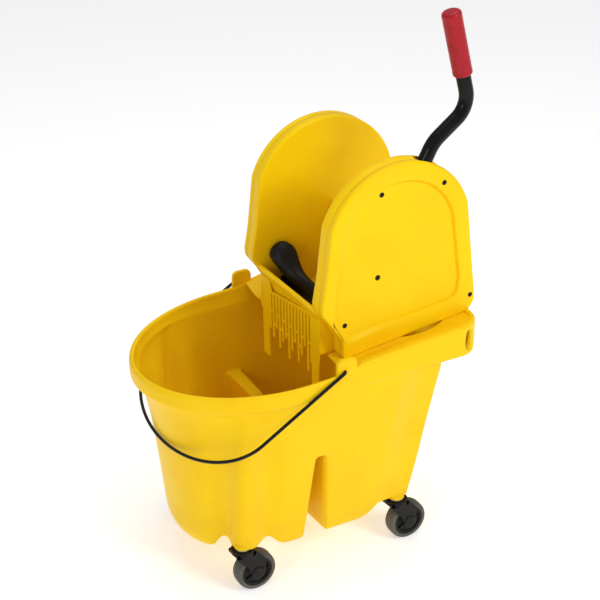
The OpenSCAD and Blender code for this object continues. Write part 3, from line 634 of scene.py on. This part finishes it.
for corner, (x, y) in castor_centres.items():
    wheel_centre = (x + trail, y, wheel_r)
    fork = bmesh.new()
    spin_profile(fork, head_profile, (x, y, 0), (0, 0, 1), (1, 0, 0), 40)
    for side in (1, -1):
        raise_side(fork, [(x + px, pz) for px, pz in cheek_outline], y + side * cheek_in, y + side * cheek_out)
        spin_profile(fork, cap_profile, wheel_centre, (0, side, 0), (1, 0, 0), 32)
    raise_side(fork, [(x + px, pz) for px, pz in bridge_outline], y - cheek_out, y + cheek_out)
    add_piece(corner + "_fork_black", fork, corner + "_swivel", black_plastic,
              [corner + "_fork"], round_by=0.9, segments=3)

    hub = bmesh.new()
    spin_profile(hub, both_halves(half_hub), wheel_centre, (0, 1, 0), (1, 0, 0), 56)
    for spoke in range(5):
        turned = Matrix.Translation(wheel_centre) @ Matrix.Rotation(math.tau * spoke / 5, 4, "Y")
        shaped = Matrix.Translation((17, 0, 0)) @ Matrix.Diagonal((14, 21.5, 2.4, 1))
        bmesh.ops.create_cube(hub, size=1, matrix=turned @ shaped)
    add_piece(corner + "_hub_black", hub, corner + "_wheel", black_plastic,
              [corner + "_hub"], round_by=0.5)

    tyre = bmesh.new()
    spin_profile(tyre, both_halves(half_tyre), wheel_centre, (0, 1, 0), (1, 0, 0), 72)
    add_piece(corner + "_tyre_grey", tyre, corner + "_wheel", tyre_grey, [corner + "_tread"])
    recolour([corner + "_stem"], steel_material)
    recolour([corner + "_axle"], black_plastic)


# ---- Bail ------------------------------------------------------------------------------
# One length of black-coated steel wire. Its bent ends turn in the ears, its legs lie along
# the rim, and its bow hangs round the front of the tub.
def sweep_round(mesh, route, flat, sides):
    """A round bar along a route of places and radii that lies in one plane, whose normal is flat."""
    rings = []
    turns = [math.tau * k / sides for k in range(sides)]
    for i, (at, radius) in enumerate(route):
        before = Vector(route[max(i - 1, 0)][0])
        ahead = (Vector(route[min(i + 1, len(route) - 1)][0]) - before).normalized()
        out = ahead.cross(flat)
        rings.append([Vector(at) + radius * (math.cos(a) * out + math.sin(a) * flat) for a in turns])
    first, last = loft(mesh, rings)
    close_loop(mesh, last, Vector(route[-1][0]))
    close_loop(mesh, first, Vector(route[0][0]))


wire_black = dark_plastic("wire_black", (0.006, 0.006, 0.006, 1), (0.004, 0.004, 0.004, 1),
                          0.26, 300.0, 0.0002, 0.2)
bail_pivot = Vector((-2.5, 0, 430))
hang = math.radians(31)
toward_bow = Vector((-math.cos(hang), 0, -math.sin(hang)))
bail_side = 202.5
wire_r = 3.0
wire_bend = 3.4
# Half of the bail, as distance from the pivot toward the bow and distance sideways
half_bail = [(0, 192), (0, 199.1)]
for a in (22.5, 45, 67.5, 90):
    c, s = cos_sin(a)
    half_bail.append((wire_bend * (1 - c), bail_side - wire_bend * (1 - s)))
half_bail += [(40, bail_side), (90, bail_side), (140, bail_side)]
for a in range(0, 88, 3):
    c, s = cos_sin(a)
    half_bail.append((186 + 118 * s, bail_side * c))
half_bail.append((304, 0))
whole_bail = half_bail + [(ahead, -aside) for ahead, aside in reversed(half_bail[:-1])]
bail_route = [(bail_pivot + toward_bow * ahead + Vector((0, aside, 0)), wire_r) for ahead, aside in whole_bail]
bail = bmesh.new()
sweep_round(bail, bail_route, toward_bow.cross(Vector((0, 1, 0))).normalized(), 14)
add_piece("bail_wire", bail, "bail", wire_black, ["bail_handle"], sharp=50)


# ---- Wringer: hopper and comb ----------------------------------------------------------
# Between the side walls a curved yellow scoop holds the mop. Water drains through slots in
# the scoop and its back, and a ragged slotted comb hangs from its lip over the tub.
def slotted_sheet(mesh, path, lines, is_open):
    """A sheet along a path in X and Z, crossed by lines in Y, with the open cells left out."""
    made = bmesh.ops.create_grid(mesh, x_segments=len(path) - 1, y_segments=len(lines) - 1, size=1)["verts"]
    for vert in made:
        i = round((vert.co.x + 1) / 2 * (len(path) - 1))
        j = round((vert.co.y + 1) / 2 * (len(lines) - 1))
        vert.co = (path[i][0], lines[j], path[i][1])
    gaps = [f for f in mesh.faces if is_open(f.calc_center_median())]
    bmesh.ops.delete(mesh, geom=gaps, context="FACES")


def thicken(mesh, thickness, towards):
    """Gives a sheet its thickness on the side that this direction points to from the first face."""
    bmesh.ops.recalc_face_normals(mesh, faces=mesh.faces)
    mesh.faces.ensure_lookup_table()
    if mesh.faces[0].normal.dot(Vector(towards)) < 0:
        bmesh.ops.reverse_faces(mesh, faces=mesh.faces)
    bmesh.ops.solidify(mesh, geom=mesh.faces, thickness=-thickness)


press_axis = (49.5, 512.0)
scoop_r = 86.0


def round_point(centre, radius, angle):
    """A place on a circle that stands in X and Z."""
    c, s = cos_sin(angle)
    return (centre[0] + radius * c, centre[1] + radius * s)


scoop_slots = (-70, -46, -22)
scoop_angles = [-90, -84, -70, -58, -46, -34, -22, -8, 0] + [a + d for a in scoop_slots for d in (-6.5, 6.5)]
wringer_in = 108.3
hopper_path = [(2.4, 492), (8, 491.5), (13, 488), (20, 480), (33.5, 463), (37, 450), (40, 436)]
hopper_path += [round_point(press_axis, scoop_r, a) for a in sorted(scoop_angles)]
hopper_path += [(137.2, 535), (142.5, 579), (147.5, 600)]
slot_rows = [-84 + 24 * k for k in range(8)]
hopper_lines = sorted([-wringer_in, wringer_in] + [y + d for y in slot_rows for d in (-3, 3)])


def hopper_slot(centre):
    between = any(abs(centre.y - y) < 3 for y in slot_rows)
    angle = math.degrees(math.atan2(centre.z - press_axis[1], centre.x - press_axis[0]))
    reach = math.hypot(centre.z - press_axis[1], centre.x - press_axis[0])
    in_scoop = 80 < reach < 88 and centre.z < 505 and any(abs(angle - a) < 6.4 for a in scoop_slots)
    return between and (in_scoop or 535 < centre.z < 579)


hopper = bmesh.new()
slotted_sheet(hopper, hopper_path, hopper_lines, hopper_slot)
thicken(hopper, 4.0, (-1, 0, 0))
lip_outline = rounded_outline([(-5.5, 496, 3), (-3.5, 501, 3), (1.5, 501, 3), (10, 487, 2), (11, 456, 1.5),
                               (8, 456, 1.5), (4, 478, 14)], 10)
raise_side(hopper, lip_outline, -wringer_in, wringer_in)
add_piece("hopper_scoop", hopper, "wringer", wringer_yellow_painted_lit, ["hopper"], round_by=0.9)

lean = math.radians(1)
comb_top = 482.6
comb_face = -0.3
comb_half = 79  # the teeth hang between two posts, which begin here
post_out = 103
first_slot = -74
slot_count = 13
tooth = 11.6  # from one slot to the next
slot_wide = 5.2
slot_top = 5
bar_ends = (96, 118, 74, 98, 116, 84, 106, 128, 92, 104, 122, 88, 110)
bridges = ((57, 61.5), (80, 84.5))


def comb_point(down):
    """X and Z of a place on the comb's front, from how far down it is."""
    return comb_face + down * math.sin(lean), comb_top - down * math.cos(lean)


comb_downs = sorted(set((0, slot_top, 20, 40, 150, 160) + bridges[0] + bridges[1] + bar_ends))
comb_path = [comb_point(down) for down in comb_downs]
slot_starts = [first_slot + i * tooth for i in range(slot_count)]
slot_ends = [first_slot + slot_wide + i * tooth for i in range(slot_count)]
comb_lines = sorted([-post_out, -comb_half, comb_half, post_out] + slot_starts + slot_ends)


def comb_gap(centre):
    """Thin bars of many lengths hang between long slots, with a short bridge across each slot."""
    down = (comb_top - centre.z) / math.cos(lean)
    slot = math.floor((centre.y - first_slot) / tooth)
    ends = (bar_ends[slot % slot_count], bar_ends[(slot + 1) % slot_count])
    if 0 <= slot < slot_count and centre.y - first_slot - slot * tooth < slot_wide:
        low, high = bridges[slot % 2]
        return down > slot_top and not (low < down < high and down < min(ends))
    return down > ends[1] and abs(centre.y) < comb_half


comb = bmesh.new()
slotted_sheet(comb, comb_path, comb_lines, comb_gap)
# The top line of the teeth rises toward the near side
for vert in comb.verts:
    down = (comb_top - vert.co.z) / math.cos(lean)
    if down < bridges[0][0] and abs(vert.co.y) < comb_half - 1:
        start = 25 - 0.155 * (100 - vert.co.y)
        vert.co.x, vert.co.z = comb_point(start + down * (1 - start / bridges[0][0]))
thicken(comb, 3.6, (1, 0, 0))
flange = [(-0.4, 484), (8, 484), (30, 455), (30, 420), (20, 417), (0.2, 417)]
for y in (-108.2, post_out):
    raise_side(comb, flange, y, y + 5.2)
add_piece("drain_comb_teeth", comb, "wringer", wringer_yellow_painted_lit, ["drain_comb"], round_by=0.6)


# ---- Wringer: side walls and covers ----------------------------------------------------
# Each side of the wringer is an arched inner wall with a deep arched cover screwed to it.
# The cover has a soft rounded edge and a recessed middle. On the right, the two leave a
# slot over the top and back where the handle swings.
arch_centre = Vector((137.5, 617))
arch_r = 143.5
panel_r = 108.5
side_corners = [(31, 419, 2), (27, 421, 3), (26, 451, 5), (10, 478, 10), (-14.5, 510, 16), (-16.5, 524, 14),
                (-8.5, 571, 40)]
side_corners += [round_point(arch_centre, arch_r, a) + (0,) for a in range(162, 14, -4)]
side_corners += [(296.5, 493, 30), (297.3, 468, 9), (284.5, 450, 7)]
panel_corners = [(41, 459, 9), (21, 488, 20), (20, 524, 24), (27, 571, 30), (33, 640, 20)]
panel_corners += [round_point(arch_centre, panel_r, a) + (0,) for a in range(154, 13, -5)]
panel_corners += [(261, 522, 30), (257, 484, 22)]
middle = Vector((137.0, 585.0))
rays = 288


def edge_rays(outline):
    """Where rays from the middle meet an outline, and which way is inward there."""
    hits = []
    for k in range(rays):
        a = math.tau * (k + 0.5) / rays
        ray = Vector((math.cos(a), math.sin(a)))
        best = None
        for i in range(len(outline)):
            p, q = Vector(outline[i - 1]), Vector(outline[i])
            run = q - p
            cross = ray.x * run.y - ray.y * run.x
            if abs(cross) < 1e-9:
                continue
            away = p - middle
            t = (away.x * run.y - away.y * run.x) / cross
            u = (away.x * ray.y - away.y * ray.x) / cross
            on_edge = -1e-6 <= u <= 1 + 1e-6
            if t > 0 and on_edge and (best is None or t > best[0]):
                best = (t, run.normalized())
        normal = Vector((-best[1].y, best[1].x))
        if normal.dot(ray) > 0:
            normal = -normal
        hits.append((middle + ray * best[0], normal))
    smooth = []
    for k in range(rays):
        normal = sum((hits[(k + d) % rays][1] * (3 - abs(d)) for d in (-2, -1, 0, 1, 2)), Vector((0, 0)))
        smooth.append((hits[k][0], normal.normalized()))
    return smooth


side_edge = edge_rays(rounded_outline(side_corners, 5))
panel_edge = edge_rays(rounded_outline(panel_corners, 5))
handle_axis = Vector((95.583, 557.128))
cover_out = 145.0
panel_out = cover_out - 5.5  # the bottom of the recess
cover_seam = 131.0
side_in = 108.4
cover_slot = 138.5  # the cover's rim along the handle's slot
wall_slot = 111.7  # the side wall's rim along the handle's slot


def in_handle_slot(point):
    away = point - handle_axis
    return -12.5 < math.degrees(math.atan2(away.y, away.x)) < 69


def measure(value, at):
    """A measure is a number, or a function of the place on the edge."""
    return value(at) if callable(value) else value


def ring_on(edge, inset, out, side):
    """A loop on one side of the wringer, at an inset from an edge and at a distance out."""
    loop = []
    for at, inward in edge:
        place = at + inward * measure(inset, at)
        loop.append((place.x, side * measure(out, at), place.y))
    return loop


def crease(part):
    """The step round the recess is steep at the back and soft at the front."""
    return lambda at: -part * (2.4 + 10.6 * ramp(-at.x, -150, -20))


def groove_deep(at):
    """A fine groove runs along the foot of the step where the step is steep."""
    return 1.0 * ramp(at.x, 70, 160)


def edge_round(at):
    """The radius of the cover's outer edge: crisp along the foot, softer round the arch."""
    return 2.2 + 3.2 * ramp(at.y, 452, 530)


def cover_back(at):
    """Where the rim of the cover being made ends: at the seam, or further out by the slot."""
    return cover_slot if side < 0 and in_handle_slot(at) else cover_seam + 0.15


def wall_edge(at):
    """Where the rim of the wall being made ends: at the seam, or further in by the slot."""
    return wall_slot if side < 0 and in_handle_slot(at) else cover_seam - 0.15


# Inset from the panel's edge and distance out of each level of the recess and its crease
recess_levels = [(2.2, panel_out), (1.7, lambda at: panel_out - groove_deep(at)),
                 (0.0, lambda at: panel_out + 0.2 - groove_deep(at)), (crease(0.2), cover_out - 4.8),
                 (crease(0.45), cover_out - 3.4), (crease(0.7), cover_out - 1.6),
                 (crease(0.88), cover_out - 0.6), (crease(1.0), cover_out - 0.15), (crease(1.15), cover_out)]
cover_inside = cover_out - 7.0
wall_inside = side_in + 3.1
for side, name in ((-1, "right"), (1, "left")):
    cover = bmesh.new()
    loop = first = start_loop(cover, ring_on(panel_edge, 3.5, panel_out, side))
    close_loop(cover, first, (middle.x, side * panel_out, middle.y))
    for inset, out in recess_levels:
        loop = next_loop(cover, loop, ring_on(panel_edge, inset, out, side))
    loop = next_loop(cover, loop, ring_on(side_edge, lambda at: edge_round(at) + 1, cover_out, side))
    for a in range(0, 91, 15):
        c, s = cos_sin(a)
        loop = next_loop(cover, loop, ring_on(side_edge, lambda at: edge_round(at) * (1 - s),
                                              lambda at: cover_out - edge_round(at) * (1 - c), side))
    for edge, inset, out in ((side_edge, 0, lambda at: cover_back(at) + 1), (side_edge, 0.9, cover_back),
                             (side_edge, 3, cover_back), (side_edge, 4.5, cover_out - 4.5),
                             (panel_edge, -16, cover_out - 4.5), (panel_edge, -2, cover_inside)):
        loop = next_loop(cover, loop, ring_on(edge, inset, out, side))
    close_loop(cover, loop, (middle.x, side * cover_inside, middle.y))
    add_piece(name + "_cover_shell", cover, "wringer", wringer_yellow_painted_lit, [name + "_cover"],
              sharp=60)

    wall_side = bmesh.new()
    loop = first = start_loop(wall_side, ring_on(side_edge, 10, side_in, side))
    close_loop(wall_side, first, (middle.x, side * side_in, middle.y))
    for inset, out in ((3.5, side_in), (1.6, side_in + 0.4), (0.4, side_in + 1.5), (0, side_in + 3),
                       (0, lambda at: wall_edge(at) - 1), (0.9, wall_edge), (3, wall_edge), (3.2, wall_inside)):
        loop = next_loop(wall_side, loop, ring_on(side_edge, inset, out, side))
    close_loop(wall_side, loop, (middle.x, side * wall_inside, middle.y))
    add_piece(name + "_wall_shell", wall_side, "wringer", wringer_yellow_painted_lit,
              [name + "_side_wall"], sharp=60)


# ---- Wringer: cover screws and pivot bolt ----------------------------------------------
# Black self-tapping screws with low domed heads and cross recesses hold each cover to its
# side wall, and the bolt that the handle turns on has the same head.
screw_black = dark_plastic("screw_black", (0.009, 0.008, 0.008, 1), (0.005, 0.0045, 0.0045, 1),
                           0.34, 400.0, 0.0002)
# The cross recesses are not cut. Solid crosses in a darker, rougher black than the screws stand in for them:
# painted shade for the hollows.
recess_painted_shade = dark_plastic("recess_painted_shade", (0.004, 0.004, 0.004, 1), (0.002, 0.002, 0.002, 1),
                            0.75, 400.0, 0.0002)


def add_screw(mesh, x, z, seat, tip, side, radius=4.7, shank=2.2):
    """A screw whose head sits at seat and whose shank ends at tip, both as distances out."""
    profile = [(0.02, seat + 1.1), (radius * 0.5, seat + 0.95), (radius * 0.82, seat + 0.55),
               (radius, seat + 0.05), (radius, seat - 1.2), (shank, seat - 2), (shank, tip), (0.02, tip)]
    spin_profile(mesh, profile, (x, 0, z), (0, side, 0), (1, 0, 0), 28)


# A solid cross on the head stands in for the recess, and its darker material is painted shade.
def add_cross(mesh, x, z, seat, side):
    for wide, high in ((4.6, 1.3), (1.3, 4.6)):
        place = Matrix.Translation((x, side * (seat + 0.75), z))
        bmesh.ops.create_cube(mesh, size=1, matrix=place @ Matrix.Diagonal((wide, 0.9, high, 1)))


screw_places = [(99.5, 709, panel_out), (31.5, 481, panel_out), (287, 481, cover_out), (220.5, 709, cover_out)]
for side, name in ((-1, "right"), (1, "left")):
    screws = bmesh.new()
    for x, z, seat in screw_places:
        beside_handle = side < 0 and x > 200 and z > 600
        tip = 137.5 if beside_handle else side_in + 6
        add_screw(screws, x, z, seat, tip, side)
    add_piece(name + "_screw_heads", screws, "wringer", screw_black, [name + "_cover_screws"])
    crosses = bmesh.new()
    for x, z, seat in screw_places:
        add_cross(crosses, x, z, seat, side)
    add_piece(name + "_screw_recesses", crosses, "wringer", recess_painted_shade)
bolt = bmesh.new()
add_screw(bolt, handle_axis.x, handle_axis.y, panel_out, side_in - 3, -1, 5.2, 4.9)
nut_profile = [(0.02, side_in - 5), (6.8, side_in - 5), (7.4, side_in - 4.2), (7.4, side_in - 0.1),
               (0.02, side_in - 0.1)]
spin_profile(bolt, nut_profile, (handle_axis.x, 0, handle_axis.y), (0, -1, 0), (1, 0, 0), 6)
add_piece("pivot_bolt_black", bolt, "wringer", screw_black, ["pivot_bolt"])
bolt_cross = bmesh.new()
add_cross(bolt_cross, handle_axis.x, handle_axis.y, panel_out, -1)
add_piece("pivot_bolt_recess", bolt_cross, "wringer", recess_painted_shade)


# ---- Press -----------------------------------------------------------------------------
# A black moulded plate swings down between the side walls to squeeze the mop. Its round
# cheeks turn on short steel shafts, and a web curves from each cheek into the blade.
press = bmesh.new()
web_front = 48.5
web_thick = 12.5
# Half of the web in Y and Z: a curve from the cheek down to the blade's upper edge
web_half = [(102, 520)]
for a in range(0, 91, 9):
    c, s = cos_sin(a)
    web_half.append((90 - 42 * (1 - c), 526 - 42 * s))
web = [(-y, z) for y, z in web_half] + [(y, 484) for y in (-30, 0, 30)] + web_half[::-1]
web += [(102, 452), (98, 442)]
web += [(y, max(440.5, 146 + math.sqrt(306 ** 2 - y ** 2))) for y in range(88, -89, -8)]
web += [(-98, 442), (-102, 452)]
raise_face(press, [(web_front, y, z) for y, z in web], (web_thick, 0, 0))
cheek = [round_point((38, 519), 23, a) for a in range(190, -11, -10)]
cheek += rounded_outline([(71, 470, 20), (66, 445, 8), (47.5, 444, 6), (28, 474, 12)])
for side in (1, -1):
    raise_side(press, cheek, side * 90, side * 102)
# Place in Y, centre in X and Z, and half sizes of each ring of the thick arm
half_arm = [(100.5, 39, 518, 22.5, 22.5), (90, 39, 518, 24, 24), (82, 40, 514, 23, 23), (74, 42, 504, 20.5, 21),
            (64, 46, 491, 17, 18), (50, 50, 483, 14, 15), (32, 54, 479, 11, 13), (12, 56, 477, 9.5, 12)]
turns = [math.tau * k / 24 for k in range(24)]
rings = []
for y, x, z, wide, high in half_arm + [(-y, *rest) for y, *rest in reversed(half_arm)]:
    rings.append([(x + wide * math.cos(a), y, z + high * math.sin(a)) for a in turns])
first, last = loft(press, rings)
close_loop(press, last, (39, -100.5, 518))
close_loop(press, first, (39, 100.5, 518))
add_piece("press_blade", press, "press", black_plastic, ["press_plate"],
          round_by=2.2, segments=3)
recolour(("press_gear", "drive_gear"), black_plastic)
recolour(("right_press_shaft", "left_press_shaft", "return_spring", "tube_rivet"), steel_material)


# ---- Handle ----------------------------------------------------------------------------
# A bent steel tube in gloss black enamel comes up through the slot, cranks back and then
# leans forward to a red ribbed vinyl grip with a domed end.
enamel_material, enamel_shader, enamel_place = start_material("black_enamel")
enamel_flow = enamel_place.noise(60.0, 2.0, 0.5)
enamel_colour = enamel_place.noise(22.0).between(0.4, 0.7).blend((0.005, 0.005, 0.0055, 1),
                                                                 (0.008, 0.008, 0.0085, 1))
finish_material(enamel_shader, enamel_colour, enamel_flow * 0.10 + 0.15, enamel_flow, 0.0004, 0.12)
set_inputs(enamel_shader, {"Specular IOR Level": 0.08, "Coat Weight": 0.14, "Coat Roughness": 0.08})
tube_y = -125.0
tube_r = 12.8
tube_foot = 32  # from the handle's axis to the lower end of the tube
tube_corners = [(handle_axis.x + tube_foot * 0.4530, handle_axis.y + tube_foot * 0.8915, 0),
                (207.2, 777, 62), (277, 829.5, 46), (235.1, 984.5, 0)]
tube_route = [(Vector((x, tube_y, z)), tube_r) for x, z in rounded_outline(tube_corners, 6)]
tube = bmesh.new()
sweep_round(tube, tube_route, Vector((0, 1, 0)), 32)
add_piece("handle_tube_black", tube, "handle", enamel_material, ["handle_tube"], sharp=50)

grip_red, grip_shader, grip_place = start_material("grip_red")
grip_grain = grip_place.noise(700.0, 3.0, 0.6)
grip_wear = grip_place.noise(55.0, 4.0, 0.6).between(0.48, 0.70)
grip_colour = grip_wear.blend((0.400, 0.006, 0.014, 1), (0.330, 0.005, 0.012, 1))
finish_material(grip_shader, grip_colour, grip_wear * 0.12 + 0.36, grip_grain, 0.0004, 0.35)
set_inputs(grip_shader, {"Specular IOR Level": 0.28})
grip_way = Vector((231.5 - 277, 0, 998 - 829.5)).normalized()
grip_end = Vector((231.5, tube_y, 998))
grip = bmesh.new()
# Place along the grip and radius: the lower lip, fifteen fine ribs and the domed end
grip_profile = [(-114, 13.2), (-114, 15.2), (-113, 16.6), (-111, 17.1), (-108, 17.1), (-106, 16.9),
                (-104, 16.8)]
for rib in range(15):
    grip_profile += [(-102 + 6 * rib + d, r) for d, r in ((0, 16.8), (2.0, 16.95), (3.6, 16.95), (5.0, 16.8))]
grip_profile += [(-11, 16.9), (-8, 17.1), (-6, 17.1), (-3.5, 16.7), (-1.5, 15.6), (0.2, 13.4), (1.2, 10.0),
                 (1.6, 6.0)]
sweep_round(grip, [(grip_end + grip_way * d, r) for d, r in grip_profile], Vector((0, 1, 0)), 40)
add_piece("handle_grip_red", grip, "handle", grip_red, ["handle_grip"], sharp=55)


# ---- Camera, light and floor -----------------------------------------------------------
# A plain pale studio: a white floor that glows faintly, a soft key from the front right, a
# weak fill from the left, a broad light from above and an even white surround.
target = Vector((0.0559, 0.0613, 0.4352))
eye = Vector((-1.130, -2.069, 1.677))
camera_data = bpy.data.cameras.new("camera")
camera_data.sensor_width = 36
camera_data.lens = 89.55
camera = link_object("camera", camera_data)
camera.location = eye
camera.rotation_euler = (target - eye).to_track_quat("-Z", "Y").to_euler()
bpy.context.scene.camera = camera

floor_mesh = bmesh.new()
bmesh.ops.create_grid(floor_mesh, x_segments=1, y_segments=1, size=9)
floor_data = bpy.data.meshes.new("floor")
floor_mesh.to_mesh(floor_data)
floor_mesh.free()
floor = link_object("floor", floor_data)
floor_material, floor_shader, _ = start_material("pale_floor")
finish_material(floor_shader, (0.93, 0.93, 0.93, 1), 0.8)
set_inputs(floor_shader, {"Specular IOR Level": 0.1, "Emission Color": (1, 1, 1, 1),
                          "Emission Strength": 0.42})
floor_data.materials.append(floor_material)

lit_place = Vector((0.05, 0, 0.4))
lamps = (("key", (1.0, -2.55, 2.2), 0.9, 34), ("fill", (-2.7, -1.4, 1.7), 0.8, 14),
         ("top", (0.2, 0.3, 3.2), 2.0, 26))
for name, stand, size, power in lamps:
    lamp_data = bpy.data.lights.new(name, "AREA")
    lamp_data.size = size
    lamp_data.energy = power
    lamp = link_object(name, lamp_data)
    lamp.location = stand
    lamp.rotation_euler = (lit_place - Vector(stand)).to_track_quat("-Z", "Y").to_euler()

world = bpy.data.worlds.new("studio")
world.use_nodes = True
set_inputs(world.node_tree.nodes["Background"], {"Color": (1, 1, 1, 1), "Strength": 0.42})
bpy.context.scene.world = world
bpy.context.scene.view_settings.view_transform = "Standard"
